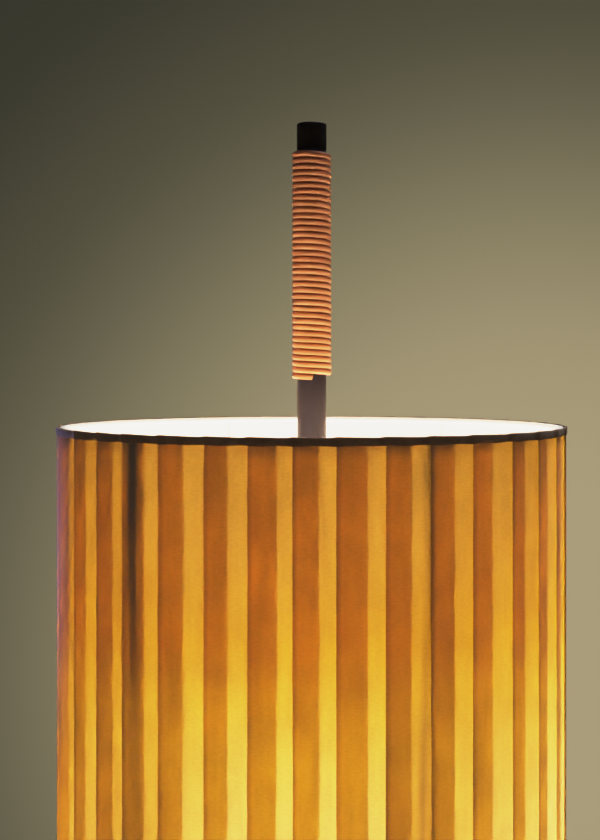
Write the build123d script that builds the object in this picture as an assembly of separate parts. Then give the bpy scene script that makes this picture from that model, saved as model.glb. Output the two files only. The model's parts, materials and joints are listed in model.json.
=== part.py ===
from build123d import *
import math
import os

# A floor lamp with a pleated drum shade and a grip wound with cane.
# Lengths are millimetres and angles are degrees. The origin is on the floor under
# the middle of the stem, and +Z is up. A bearing is an angle round the stem,
# counted from the front, -Y, towards the right, +X.

# Gaps between pieces
seat_gap = 0.3      # between a piece and what it rests on or lies against
thread_gap = 0.1    # radial, round a screw in its hole
slip_gap = 0.15     # radial, round a tube in its socket or a plug in its tube
cut_past = 1.0      # how far a cut runs past the face that it opens

# Base
base_radius = 150.0
cover_sheet = 1.5
pad_thickness = 4.0
pad_inset = 8.0
cover_lift = 2.0
rim_height = 17.0
crown_rise = 5.0
crown_land = 34.0
rim_corner = 6.0
web_thickness = 5.5

# Socket that holds the stem to the base
socket_flange_radius = 32.0
socket_flange = 6.0
socket_floor = 5.0
socket_depth = 40.0
socket_wall = 5.0
socket_fillet = 7.0
stud_radius = 9.0
stud_bore = 6.0
stud_proud = 1.0
nut_height = 6.0
nut_across_flats = 27.0
washer_thickness = 1.5
washer_radius = 17.0
nut_room = 5.0

# Mains inlet and the terminal block behind it
inlet_bore = 3.5
gland_wall = 1.4
gland_flange = 2.0
gland_lip = 1.8
inlet_height = 12.0
base_terminal_size = (24.0, 20.0, 9.5)
base_terminal_inset = 54.0

# Wiring inside the lamp
lead_radius = 2.2
lead_height = 8.0
lead_bend = 10.0
arm_lead_radius = 1.8
channel_gap = 1.8

# Stem, grip and end cap
stem_radius = 13.0
stem_wall = 2.0
spigot_length = 25.0
grip_rise = 40.0
grip_length = 205.0
cap_radius = 13.3
cap_height = 24.0
cap_edge = 1.2
cap_plug = 20.0

# Cane winding: a left-handed helix whose lower end lies at the front
cane_radius = 2.1
cane_pitch = 5.55
cane_end_bearing = 6.0

# Grub screws
grub_radius = 2.5
grub_length = 4.0
grub_key = 1.25

# Junction box between the two tubes, and the lampholder arms
box_radius = 26.0
box_wall = 6.0
box_floor = 6.0
box_below_arm = 14.0
box_above_arm = 16.0
lid_thickness = 6.0
fitting_edge = 2.0
lid_boss_radius = 4.0
lid_screw_radius = 1.25
lid_screw_head = 2.3
lid_screw_length = 14.0
box_terminal_radius = 9.0
box_terminal_height = 12.0
lead_socket_depth = 3.7
arm_count = 3
first_arm_bearing = -20.0
arm_reach = 75.0
arm_bend = 25.0
arm_radius = 5.0
arm_wall = 1.2
arm_riser = 5.0
arm_collar_radius = 8.0
arm_collar = 2.5
arm_nut_across_flats = 14.0
arm_nut_height = 3.0

# Lampholders
holder_radius = 19.0
holder_wall = 2.2
holder_neck_radius = 8.5
holder_neck = 7.0
holder_shoulder = 4.0
holder_cap_height = 22.0
holder_ledge = 2.8
insert_height = 7.0
skirt_lip = 2.0
holder_mouth = 1.2
tongue_width = 6.0
tongue_sheet = 0.5

# Bulbs
bulb_glass_radius = 30.0
bulb_centre = 76.0
bulb_glass_wall = 1.0
bulb_neck_radius = 12.9
bulb_thread_radius = 13.0
bulb_thread_depth = 0.8
bulb_thread_pitch = 3.629
bulb_thread_turns = 5
bulb_contact_radius = 4.5
bulb_contact_height = 1.8
bulb_insulator_height = 4.5
bulb_cap_length = 26.0
bulb_cap_sheet = 0.6
bulb_shoulder_angle = 38.0
bulb_crown_angle = 35.0
bulb_neck_swell = 1.2
thread_play = 0.35

# Shade
shade_bottom = 800.0
shade_height = 600.0
shade_radius = 225.0
light_drop = 350.0
binding_sheet = 0.8
binding_height = 7.0
pleat_count = 38
first_fold_bearing = -3.5
pleat_rise = 1.6
cloth_wall = 1.2
ring_wire = 2.5
strut_wire = 2.0
strut_count = 6
first_strut_bearing = 23.0
spider_drop = 50.0
spider_wire = 2.0
hub_wall = 5.0
hub_height = 8.0
hub_clearance = 2.5
hub_edge = 1.0

# Seat of the shade on the stem
collar_flange = 5.0
collar_flange_radius = 26.0
collar_neck = 12.0
collar_wall = 5.0
spigot_rise = 6.0
spigot_play = 0.4
collar_edge = 1.0
seat_washer_sheet = 1.5
grub_inset = 6.0

# Heights that follow, from the floor up
weight_bottom = pad_thickness
weight_rim = weight_bottom + rim_height
weight_crown = weight_rim + crown_rise
cover_crown = weight_crown + seat_gap + cover_sheet
socket_top = cover_crown + socket_floor + socket_depth
stem_foot = cover_crown + socket_floor
web_bottom = weight_crown - web_thickness
stud_end = web_bottom - washer_thickness - nut_height - stud_proud
weight_radius = base_radius - cover_sheet - seat_gap
base_terminal_centre = base_radius - base_terminal_inset
stem_bore = stem_radius - stem_wall
plug_radius = stem_bore - slip_gap

shade_top = shade_bottom + shade_height
bulb_seat = shade_top - light_drop - bulb_centre
holder_top = bulb_seat + bulb_cap_length + seat_gap
holder_bottom = bulb_seat - holder_cap_height
arm_height = holder_bottom - arm_riser - arm_bend
box_bottom = arm_height - box_below_arm - box_floor
box_floor_top = arm_height - box_below_arm
lid_bottom = arm_height + box_above_arm
lid_top = lid_bottom + lid_thickness
box_cavity = box_radius - box_wall
grip_bottom = shade_top + grip_rise
grip_top = grip_bottom + grip_length

# Radii that follow, from the rim of the shade inwards
pleat_outer = shade_radius - binding_sheet - seat_gap
pleat_inner = pleat_outer - pleat_rise - cloth_wall
ring_radius = pleat_inner - seat_gap - ring_wire
strut_radius = pleat_inner - seat_gap - strut_wire
binding_inner = ring_radius - ring_wire
ring_inset = binding_sheet + seat_gap + ring_wire
cane_centre = stem_radius + seat_gap + cane_radius
grip_radius = cane_centre + cane_radius
hub_bore = grip_radius + hub_clearance
spider_height = shade_top - spider_drop
hub_bottom = spider_height - hub_height / 2
washer_top = hub_bottom - seat_gap
washer_bottom = washer_top - seat_washer_sheet
collar_top = washer_bottom - seat_gap
socket_bore = stem_radius + slip_gap
thread_bore = bulb_thread_radius + thread_play

nodes = {}


def at(radius, bearing, height):
    """The point at a radius and bearing round the stem."""
    angle = math.radians(bearing)
    return Vector(radius * math.sin(angle), -radius * math.cos(angle), height)


def facing(bearing):
    """The turn that takes a piece modelled at the front to a bearing."""
    return Rot(0, 0, bearing)


def turned(*corners):
    """A solid turned about Z from corners given as (radius, height)."""
    outline = Polyline(*[(r, 0, z) for r, z in corners], close=True)
    return revolve(make_face(outline), Axis.Z)


def turned_edges(edges):
    """A solid turned about Z from joined lines and arcs in the XZ plane."""
    return revolve(make_face(Wire(edges)), Axis.Z)


def ring(inner, outer, low, high):
    """A plain round tube or washer about Z."""
    return turned((inner, low), (outer, low), (outer, high), (inner, high))


def rod(radius, low, high):
    """A plain round bar on Z."""
    return Pos(0, 0, low) * Cylinder(radius, high - low, align=(Align.CENTER, Align.CENTER, Align.MIN))


def front_rod(radius, near, far, height):
    """A round bar that runs from the stem to the front between two radii."""
    bar = Cylinder(radius, far - near, align=(Align.CENTER, Align.CENTER, Align.MIN))
    return Pos(0, -near, height) * Rot(90, 0, 0) * bar


def hexagon(across_flats, low, high):
    """A hexagonal bar on Z."""
    corner_radius = across_flats / math.sqrt(3)
    return Pos(0, 0, low) * extrude(RegularPolygon(corner_radius, 6), high - low)


def nut(across_flats, bore, height):
    """A hexagonal nut with its corners eased at both faces."""
    corner_radius = across_flats / math.sqrt(3)
    flat_radius = across_flats / 2
    ease = corner_radius - flat_radius
    easing = turned((0, 0), (flat_radius, 0), (corner_radius, ease), (corner_radius, height - ease),
                    (flat_radius, height), (0, height))
    return hexagon(across_flats, 0, height) & easing - rod(bore, -cut_past, height + cut_past)


def section_swept(path, radius):
    """A round bar along a path of lines and arcs."""
    start = path @ 0
    across = Plane(origin=start, z_dir=path % 0)
    return sweep(across * Circle(radius), path=path)


def base_outline(offset, hole):
    """The crowned top and round rim of the base, set outwards by an offset."""
    crown = weight_crown + offset
    rim_top = weight_rim + offset
    wall = weight_radius + offset
    bend_start = weight_radius - rim_corner
    bend_end = weight_rim - rim_corner
    middle = (rim_corner + offset) * math.sqrt(0.5)
    return [
        Line((hole, 0, crown), (crown_land, 0, crown)),
        Line((crown_land, 0, crown), (bend_start, 0, rim_top)),
        ThreePointArc((bend_start, 0, rim_top), (bend_start + middle, 0, bend_end + middle),
                      (wall, 0, bend_end)),
    ]


def base_solid(offset, bottom, hole):
    """Everything under the base's outline, down to a height."""
    wall = weight_radius + offset
    crown = weight_crown + offset
    edges = base_outline(offset, hole)
    edges.append(Line((wall, 0, weight_rim - rim_corner), (wall, 0, bottom)))
    edges.append(Line((wall, 0, bottom), (hole, 0, bottom)))
    edges.append(Line((hole, 0, bottom), (hole, 0, crown)))
    return turned_edges(edges)


def make_base():
    """Sole, weight, cover, stem socket, its fastening, inlet gland and terminal block."""
    nodes["base_pad"] = rod(weight_radius - pad_inset, 0, pad_thickness)

    stud_hole = stud_radius + slip_gap
    recess = washer_radius + nut_room
    lead_channel = 2 * (lead_radius + channel_gap)
    block_x, block_y, block_z = base_terminal_size
    pocket_top = weight_bottom + block_z + channel_gap + seat_gap
    gland_radius = inlet_bore + gland_wall
    gland_lip_radius = gland_radius + gland_lip
    gland_inner = weight_radius - gland_flange - seat_gap
    floor_up = (Align.CENTER, Align.MIN, Align.MIN)

    weight = base_solid(0, weight_bottom, stud_hole)
    weight -= rod(recess, weight_bottom - cut_past, web_bottom)
    channel_top = lead_height + lead_radius + channel_gap
    cut_foot = weight_bottom - cut_past
    weight -= Pos(0, 0, cut_foot) * Box(
        lead_channel, base_terminal_centre, channel_top - cut_foot, align=floor_up)
    weight -= Pos(0, base_terminal_centre, cut_foot) * Box(
        block_x + 2 * channel_gap, block_y + 2 * channel_gap, pocket_top - cut_foot,
        align=(Align.CENTER, Align.CENTER, Align.MIN))
    inlet_top = inlet_height + gland_lip_radius + seat_gap
    weight -= Pos(0, base_terminal_centre, cut_foot) * Box(
        2 * (inlet_bore + channel_gap), base_radius - base_terminal_centre,
        inlet_height + inlet_bore + channel_gap - cut_foot, align=floor_up)
    weight -= Pos(0, gland_inner - gland_flange, cut_foot) * Box(
        2 * (gland_lip_radius + channel_gap), base_radius, inlet_top - cut_foot, align=floor_up)
    nodes["base_weight"] = weight

    cover = base_solid(seat_gap + cover_sheet, cover_lift, stud_hole)
    cover -= base_solid(seat_gap, cover_lift - cut_past, stud_hole - cut_past)
    inlet_hole = facing(180) * front_rod(gland_radius + seat_gap, weight_radius - gland_flange,
                                         base_radius + cut_past, inlet_height)
    nodes["base_cover"] = cover - inlet_hole

    socket_radius = socket_bore + socket_wall
    fillet_foot = cover_crown + socket_flange
    fillet_middle = socket_fillet * (1 - math.sqrt(0.5))
    edge = fitting_edge
    socket = turned_edges([
        Line((stud_bore, 0, stud_end), (stud_radius, 0, stud_end)),
        Line((stud_radius, 0, stud_end), (stud_radius, 0, cover_crown)),
        Line((stud_radius, 0, cover_crown), (socket_flange_radius, 0, cover_crown)),
        Line((socket_flange_radius, 0, cover_crown), (socket_flange_radius, 0, fillet_foot - edge)),
        Line((socket_flange_radius, 0, fillet_foot - edge), (socket_flange_radius - edge, 0, fillet_foot)),
        Line((socket_flange_radius - edge, 0, fillet_foot), (socket_radius + socket_fillet, 0, fillet_foot)),
        ThreePointArc((socket_radius + socket_fillet, 0, fillet_foot),
                      (socket_radius + fillet_middle, 0, fillet_foot + fillet_middle),
                      (socket_radius, 0, fillet_foot + socket_fillet)),
        Line((socket_radius, 0, fillet_foot + socket_fillet), (socket_radius, 0, socket_top - edge)),
        Line((socket_radius, 0, socket_top - edge), (socket_radius - edge, 0, socket_top)),
        Line((socket_radius - edge, 0, socket_top), (socket_bore, 0, socket_top)),
        Line((socket_bore, 0, socket_top), (socket_bore, 0, stem_foot)),
        Line((socket_bore, 0, stem_foot), (stud_bore, 0, stem_foot)),
        Line((stud_bore, 0, stem_foot), (stud_bore, 0, stud_end)),
    ])
    screw_height = socket_top - grub_inset - edge
    nodes["base_socket"] = socket - grub_hole(socket_bore, socket_radius, screw_height)

    nodes["base_washer"] = ring(stud_hole, washer_radius, web_bottom - washer_thickness, web_bottom)
    nut_bottom = web_bottom - washer_thickness - nut_height
    nodes["base_nut"] = Pos(0, 0, nut_bottom) * nut(
        nut_across_flats, stud_radius + thread_gap, nut_height)

    outer_face = base_radius + seat_gap
    gland = turned(
        (inlet_bore, gland_inner - gland_flange), (gland_lip_radius, gland_inner - gland_flange),
        (gland_lip_radius, gland_inner), (gland_radius, gland_inner), (gland_radius, outer_face),
        (gland_lip_radius, outer_face), (gland_radius, outer_face + gland_flange),
        (inlet_bore, outer_face + gland_flange))
    nodes["cord_gland"] = Pos(0, 0, inlet_height) * Rot(-90, 0, 0) * gland

    block_bottom = pocket_top - seat_gap - block_z
    block = Pos(0, base_terminal_centre, block_bottom) * Box(
        *base_terminal_size, align=(Align.CENTER, Align.CENTER, Align.MIN))
    block -= Pos(0, base_terminal_centre, block_bottom + block_z / 2) * Rot(90, 0, 0) * Cylinder(
        inlet_bore, block_y / 3, align=(Align.CENTER, Align.CENTER, Align.MAX))
    block -= front_rod(lead_radius + seat_gap, -base_terminal_centre, block_y, lead_height)
    nodes["base_terminal"] = block

    grub_at(socket_bore, screw_height)


def grub_hole(near, far, height):
    """The threaded hole at the back for a grub screw, through a wall between two radii."""
    return facing(180) * front_rod(grub_radius + thread_gap, near - cut_past, far + cut_past, height)


grubs = []


def grub_at(inner, height):
    """A grub screw at the back, with its key socket, from a radius outwards."""
    near = inner + slip_gap
    far = near + grub_length
    screw = front_rod(grub_radius, near, far, height)
    key = Pos(0, -far, height) * Rot(90, 0, 0) * extrude(
        RegularPolygon(2 * grub_key / math.sqrt(3), 6), -grub_length / 2)
    grubs.append(facing(180) * (screw - key))


def make_stem():
    """The two tubes, the lead in the lower one and the cap on top."""
    lower_screw = box_bottom - spigot_length / 2
    upper_screw = lid_top + spigot_length / 2
    lower = ring(stem_bore, stem_radius, stem_foot, box_bottom)
    nodes["stem_lower"] = lower - tube_screw_hole(lower_screw)
    upper = ring(stem_bore, stem_radius, lid_top, grip_top)
    nodes["stem_upper"] = upper - tube_screw_hole(upper_screw)
    inner_end = stem_radius - slip_gap - grub_length
    grub_at(inner_end - slip_gap, lower_screw)
    grub_at(inner_end - slip_gap, upper_screw)

    nodes["end_cap"] = turned(
        (0, grip_top - cap_plug), (plug_radius - cap_edge, grip_top - cap_plug),
        (plug_radius, grip_top - cap_plug + cap_edge), (plug_radius, grip_top),
        (cap_radius, grip_top), (cap_radius, grip_top + cap_height - cap_edge),
        (cap_radius - cap_edge, grip_top + cap_height), (0, grip_top + cap_height))

    lead_start = base_terminal_centre - base_terminal_size[1] / 2 - seat_gap
    lead_end = arm_height - box_terminal_height / 2 - seat_gap
    corner = lead_bend * (1 - math.sqrt(0.5))
    path = Wire([
        Line((0, lead_start, lead_height), (0, lead_bend, lead_height)),
        ThreePointArc((0, lead_bend, lead_height), (0, corner, lead_height + corner),
                      (0, 0, lead_height + lead_bend)),
        Line((0, 0, lead_height + lead_bend), (0, 0, lead_end)),
    ])
    lead = section_swept(path, lead_radius)
    nodes["stem_lead"] = lead
    report_tube("stem_lead", lead, path, lead_radius)


def tube_screw_hole(height):
    """The hole in a tube's wall, and in the plug inside it, for a grub screw."""
    return grub_hole(stem_radius - slip_gap - grub_length, stem_radius, height)


def report_tube(name, solid, path, radius):
    """Prints a swept tube's volume beside its section times its length."""
    expected = math.pi * radius ** 2 * path.length
    print(f"{name}: length {path.length:.1f}, volume {solid.volume:.1f}, expected {expected:.1f}")


def biarc(start, start_way, end, end_way):
    """Two arcs that leave one point and reach another in given directions."""
    across = end - start
    ways = start_way + end_way
    bend = 2 * (1 - start_way.dot(end_way))
    slope = across.dot(ways)
    leg = (-slope + math.sqrt(slope ** 2 + bend * across.dot(across))) / bend
    near = start + start_way * leg
    far = end - end_way * leg
    middle = (near + far) / 2
    return [
        TangentArc(start, middle, tangent=start_way),
        TangentArc(middle, end, tangent=(far - near).normalized()),
    ]


def cane_point(turns):
    """The cane's middle after some turns up from its lower end."""
    low = grip_bottom + cane_radius
    return at(cane_centre, cane_end_bearing - 360 * turns, low + cane_pitch * turns)


def cane_way(turns):
    """The cane's direction there, going up."""
    bearing = math.radians(cane_end_bearing - 360 * turns)
    sideways = 2 * math.pi * cane_centre
    return Vector(-sideways * math.cos(bearing), -sideways * math.sin(bearing), cane_pitch).normalized()


def make_winding():
    """The grip: one cane wound up the tube on half-turn biarcs, with straight ends."""
    half_turns = int(2 * (grip_length - 2 * cane_radius) / cane_pitch)
    end_run = 2 * cane_radius
    edges = [Line(cane_point(0) - cane_way(0) * end_run, cane_point(0))]
    for step in range(half_turns):
        low = step / 2
        high = (step + 1) / 2
        edges += biarc(cane_point(low), cane_way(low), cane_point(high), cane_way(high))
    last = half_turns / 2
    edges.append(Line(cane_point(last), cane_point(last) + cane_way(last) * end_run))
    path = Wire(edges)
    cane = section_swept(path, cane_radius)
    nodes["cane_winding"] = cane
    report_tube("cane_winding", cane, path, cane_radius)

    per_turn = 48
    places = [cane_point(n / per_turn) for n in range(int(last * per_turn) + 1)]
    least = min(
        (places[n + step] - places[n]).length
        for n in range(0, len(places) - 2 * per_turn, per_turn // 4)
        for step in range(per_turn // 2, 2 * per_turn))
    print(f"cane_winding: {last} turns, least gap to itself {least - 2 * cane_radius:.2f}")


def make_box():
    """The junction box between the tubes, its lid, screws and terminal."""
    body = turned(
        (stud_bore, box_bottom - spigot_length), (plug_radius, box_bottom - spigot_length),
        (plug_radius, box_bottom), (box_radius - fitting_edge, box_bottom),
        (box_radius, box_bottom + fitting_edge), (box_radius, lid_bottom), (box_cavity, lid_bottom),
        (box_cavity, box_floor_top), (stud_bore, box_floor_top))
    lid = turned(
        (0, arm_height + box_terminal_height / 2 + seat_gap),
        (lid_boss_radius, arm_height + box_terminal_height / 2 + seat_gap),
        (lid_boss_radius, lid_bottom), (box_radius, lid_bottom),
        (box_radius, lid_top - fitting_edge), (box_radius - fitting_edge, lid_top),
        (plug_radius, lid_top), (plug_radius, lid_top + spigot_length), (0, lid_top + spigot_length))
    terminal = rod(box_terminal_radius, arm_height - box_terminal_height / 2,
                   arm_height + box_terminal_height / 2)

    screw_radius = box_radius - box_wall / 2
    screws = []
    arm_nuts = []
    nut_far = math.sqrt(box_cavity ** 2 - arm_nut_across_flats ** 2 / 3) - seat_gap
    lead_bore = arm_lead_radius + seat_gap / 2
    for arm in range(arm_count):
        bearing = first_arm_bearing + 360 * arm / arm_count
        between = bearing + 180 / arm_count
        body -= facing(bearing) * front_rod(arm_radius + slip_gap, 0, box_radius + cut_past, arm_height)
        terminal -= facing(bearing) * front_rod(
            lead_bore, box_terminal_radius - lead_socket_depth, box_terminal_radius + cut_past, arm_height)
        place = Pos(at(screw_radius, between, 0))
        body -= place * rod(
            lid_screw_radius + thread_gap, lid_bottom - lid_screw_length, lid_bottom + cut_past)
        lid -= place * rod(lid_screw_radius + thread_gap, lid_bottom - cut_past, lid_top + cut_past)
        lid -= place * rod(lid_screw_head + thread_gap, lid_top - lid_screw_head, lid_top + cut_past)
        screw = rod(lid_screw_radius, lid_top - lid_screw_length, lid_top - lid_screw_head)
        screw += rod(lid_screw_head, lid_top - lid_screw_head, lid_top - lid_screw_radius / 2)
        screw -= hexagon(lid_screw_head, lid_top - lid_screw_head, lid_top)
        screws.append(place * screw)
        lock_nut = Pos(0, -nut_far, arm_height) * Rot(-90, 0, 0) * nut(
            arm_nut_across_flats, arm_radius + thread_gap, arm_nut_height)
        arm_nuts.append(facing(bearing) * lock_nut)
    nodes["cluster_body"] = body - tube_screw_hole(box_bottom - spigot_length / 2)
    nodes["cluster_lid"] = lid - tube_screw_hole(lid_top + spigot_length / 2)
    nodes["cluster_terminal"] = terminal
    nodes["cluster_screws"] = Compound(screws)
    nodes["arm_nuts"] = Compound(arm_nuts)


def arm_path(inner, top):
    """The middle of an arm: out from the box, round a bend and up."""
    corner = arm_bend * math.sqrt(0.5)
    bend_out = arm_reach - arm_bend
    bend_top = arm_height + arm_bend
    return Wire([
        Line((0, -inner, arm_height), (0, -bend_out, arm_height)),
        ThreePointArc((0, -bend_out, arm_height), (0, -bend_out - corner, bend_top - corner),
                      (0, -arm_reach, bend_top)),
        Line((0, -arm_reach, bend_top), (0, -arm_reach, top)),
    ])


def make_arms():
    """The bent tubes that carry the lampholders, and the leads inside them."""
    nut_far = math.sqrt(box_cavity ** 2 - arm_nut_across_flats ** 2 / 3) - seat_gap
    inner_end = nut_far - arm_nut_height - stud_proud
    top = holder_bottom + holder_neck - seat_gap
    collar_near = box_radius + seat_gap
    arm = section_swept(arm_path(inner_end, top), arm_radius)
    arm += front_rod(arm_collar_radius, collar_near, collar_near + arm_collar, arm_height)
    arm -= section_swept(arm_path(inner_end, top), arm_radius - arm_wall)
    lead_inner = box_terminal_radius - lead_socket_depth + seat_gap
    lead_path = arm_path(lead_inner, bulb_seat - insert_height - holder_ledge - seat_gap)
    lead = section_swept(lead_path, arm_lead_radius)
    report_tube("arm_lead", lead, lead_path, arm_lead_radius)
    for number in range(arm_count):
        turn = facing(first_arm_bearing + 360 * number / arm_count)
        nodes[f"arm_{number + 1}"] = turn * arm
        nodes[f"arm_lead_{number + 1}"] = turn * lead


def make_holder():
    """One lampholder on Z: cap, insert, contact tongues and skirt."""
    inner = holder_radius - holder_wall
    cap_top = bulb_seat
    shoulder = holder_bottom + holder_neck + holder_shoulder
    ledge_top = bulb_seat - insert_height - holder_ledge
    insert_top = ledge_top + insert_height
    entry = arm_radius + slip_gap
    lead_way = arm_radius - arm_wall
    cap = turned(
        (entry, holder_bottom), (holder_neck_radius, holder_bottom),
        (holder_neck_radius, holder_bottom + holder_neck), (holder_radius, shoulder),
        (holder_radius, cap_top), (inner, cap_top), (inner, ledge_top),
        (inner - holder_ledge, ledge_top), (inner - holder_ledge, shoulder),
        (lead_way, holder_bottom + holder_neck + holder_wall),
        (lead_way, holder_bottom + holder_neck), (entry, holder_bottom + holder_neck))
    insert = rod(inner - seat_gap, ledge_top, insert_top)
    skirt = turned(
        (inner - seat_gap - skirt_lip, insert_top), (inner - seat_gap, insert_top),
        (inner - seat_gap, cap_top), (holder_radius, cap_top),
        (holder_radius, holder_top - holder_mouth), (holder_radius - holder_mouth, holder_top),
        (thread_bore + holder_mouth, holder_top), (thread_bore, holder_top - holder_mouth),
        (thread_bore, cap_top))
    centre_tongue = Pos(0, 0, insert_top) * Box(
        bulb_contact_radius * 2, tongue_width, bulb_seat - seat_gap - insert_top,
        align=(Align.CENTER, Align.CENTER, Align.MIN))
    hollow = Pos(0, 0, insert_top + tongue_sheet) * Box(
        bulb_contact_radius * 2 - 2 * tongue_sheet, tongue_width + cut_past,
        bulb_seat - seat_gap - insert_top - 2 * tongue_sheet,
        align=(Align.CENTER, Align.CENTER, Align.MIN))
    side_tongue = Pos(-thread_bore + tongue_sheet, 0, insert_top) * Box(
        tongue_sheet, tongue_width, holder_ledge - seat_gap,
        align=(Align.MIN, Align.CENTER, Align.MIN))
    return cap, insert, Compound([centre_tongue - hollow, side_tongue]), skirt


def make_bulb():
    """One screw bulb on Z, standing on its contact at the bulb seat: glass, cap, contact."""
    foot = bulb_seat + bulb_contact_height
    thread_foot = foot + bulb_insulator_height
    cap_top = bulb_seat + bulb_cap_length
    root = bulb_thread_radius - bulb_thread_depth
    outline = [(bulb_contact_radius, foot), (root - bulb_insulator_height, foot), (root, thread_foot)]
    for turn in range(bulb_thread_turns):
        start = thread_foot + turn * bulb_thread_pitch
        outline.append((bulb_thread_radius, start + bulb_thread_pitch / 3))
        outline.append((bulb_thread_radius, start + bulb_thread_pitch / 2))
        outline.append((root, start + bulb_thread_pitch))
    outline.append((bulb_thread_radius, cap_top))
    inner = root - bulb_cap_sheet
    outline += [(inner, cap_top), (inner, thread_foot), (bulb_contact_radius, thread_foot)]
    cap = turned(*outline)
    contact = rod(bulb_contact_radius - seat_gap, bulb_seat, thread_foot - seat_gap)

    centre = bulb_seat + bulb_centre
    neck = inner - seat_gap
    neck_end = cap_top - bulb_insulator_height
    glass = turned_edges(bulb_edges(neck, centre, neck_end, cap_top))
    return glass, cap, contact


def bulb_edges(neck, centre, neck_end, cap_top):
    """The glass from its neck inside the cap, out and round to its top, and back inside."""
    shoulder = math.radians(bulb_shoulder_angle)
    crown = math.radians(bulb_crown_angle)

    def side(inset):
        globe = bulb_glass_radius - inset
        tube = neck - inset
        collar = bulb_neck_radius - inset
        shoulder_x = globe * math.cos(shoulder)
        shoulder_z = centre - globe * math.sin(shoulder)
        swell_x = (collar + shoulder_x) / 2 - bulb_neck_swell
        swell_z = (cap_top + shoulder_z) / 2
        return [
            Line((tube, 0, neck_end), (tube, 0, cap_top + seat_gap)),
            Line((tube, 0, cap_top + seat_gap), (collar, 0, cap_top + 2 * seat_gap)),
            ThreePointArc((collar, 0, cap_top + 2 * seat_gap), (swell_x, 0, swell_z),
                          (shoulder_x, 0, shoulder_z)),
            ThreePointArc((shoulder_x, 0, shoulder_z),
                          (globe * math.cos(crown), 0, centre + globe * math.sin(crown)),
                          (0, 0, centre + globe)),
        ]

    top = Line((0, 0, centre + bulb_glass_radius), (0, 0, centre + bulb_glass_radius - bulb_glass_wall))
    foot = Line((neck, 0, neck_end), (neck - bulb_glass_wall, 0, neck_end))
    return side(0) + side(bulb_glass_wall) + [top, foot]


def make_lights():
    """A lampholder and a bulb on each arm."""
    cap, insert, contacts, skirt = make_holder()
    glass, bulb_cap, contact = make_bulb()
    pieces = {
        "holder_cap": cap, "holder_insert": insert, "holder_contacts": contacts,
        "holder_skirt": skirt, "bulb_glass": glass, "bulb_cap": bulb_cap, "bulb_contact": contact,
    }
    for number in range(arm_count):
        bearing = first_arm_bearing + 360 * number / arm_count
        place = facing(bearing) * Pos(0, -arm_reach, 0)
        for name, piece in pieces.items():
            nodes[f"{name}_{number + 1}"] = place * piece


def make_seat():
    """The collar on the stem, with a spigot that centres the shade, and its washer."""
    spigot = hub_bore - spigot_play
    neck_radius = socket_bore + collar_wall
    flange_bottom = collar_top - collar_flange
    neck_bottom = flange_bottom - collar_neck
    screw_height = neck_bottom + grub_inset
    collar = turned(
        (socket_bore, neck_bottom), (neck_radius, neck_bottom), (neck_radius, flange_bottom),
        (collar_flange_radius - collar_edge, flange_bottom),
        (collar_flange_radius, flange_bottom + collar_edge),
        (collar_flange_radius, collar_top), (spigot, collar_top),
        (spigot, hub_bottom + spigot_rise - collar_edge),
        (spigot - collar_edge, hub_bottom + spigot_rise),
        (socket_bore, hub_bottom + spigot_rise))
    nodes["seat_collar"] = collar - grub_hole(socket_bore, neck_radius, screw_height)
    grub_at(socket_bore, screw_height)
    nodes["seat_washer"] = ring(hub_bore, hub_bore + hub_wall, washer_bottom, washer_top)


def wire_ring(height):
    """A ring of frame wire inside a rim of the shade."""
    section = Plane.XZ * Pos(ring_radius, height) * Circle(ring_wire)
    return revolve(section, Axis.Z)


def binding(rim, inward):
    """The tape on the outside of a rim, turned in over the edge to the ring's inner side."""
    lip = rim + inward * binding_height
    inside = rim + inward * binding_sheet
    return turned(
        (binding_inner, rim), (shade_radius, rim), (shade_radius, lip),
        (shade_radius - binding_sheet, lip), (shade_radius - binding_sheet, inside),
        (binding_inner, inside))


def pleated_cloth():
    """The ribbon wall: each pleat falls from its fold to the foot of the next fold."""
    pitch = 360 / pleat_count
    corners = []
    for pleat in range(pleat_count):
        fold = first_fold_bearing + pitch * pleat
        for share in (0, 1 / 3, 2 / 3, 1):
            corners.append(at(pleat_outer - pleat_rise * share, fold + pitch * share, 0))
    bottom = shade_bottom + binding_sheet + seat_gap
    top = shade_top - binding_sheet - seat_gap
    outline = make_face(Polyline(*corners, close=True))
    wall = extrude(outline, top - bottom, dir=(0, 0, 1))
    return Pos(0, 0, bottom) * wall - rod(pleat_inner, bottom - cut_past, top + cut_past)


def make_shade():
    """Wire frame, pleated ribbon and bindings."""
    upper = shade_top - ring_inset
    lower = shade_bottom + ring_inset
    nodes["shade_top_ring"] = wire_ring(upper)
    nodes["shade_bottom_ring"] = wire_ring(lower)
    nodes["shade_binding_top"] = binding(shade_top, -1)
    nodes["shade_binding_bottom"] = binding(shade_bottom, 1)
    nodes["shade_pleats"] = pleated_cloth()
    for number in range(strut_count):
        bearing = first_strut_bearing + 360 * number / strut_count
        strut = rod(strut_wire, lower + ring_wire + seat_gap, upper - ring_wire - seat_gap)
        nodes[f"shade_strut_{number + 1}"] = Pos(at(strut_radius, bearing, 0)) * strut

    hub_radius = hub_bore + hub_wall
    hub = turned(
        (hub_bore, hub_bottom), (hub_radius - hub_edge, hub_bottom), (hub_radius, hub_bottom + hub_edge),
        (hub_radius, hub_bottom + hub_height - hub_edge), (hub_radius - hub_edge, hub_bottom + hub_height),
        (hub_bore, hub_bottom + hub_height))
    arm_end = strut_radius - strut_wire - seat_gap
    for number in range(0, strut_count, 2):
        bearing = first_strut_bearing + 360 * number / strut_count
        hub += facing(bearing) * front_rod(spider_wire, hub_bore + hub_wall / 2, arm_end, spider_height)
    nodes["shade_spider"] = hub


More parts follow.
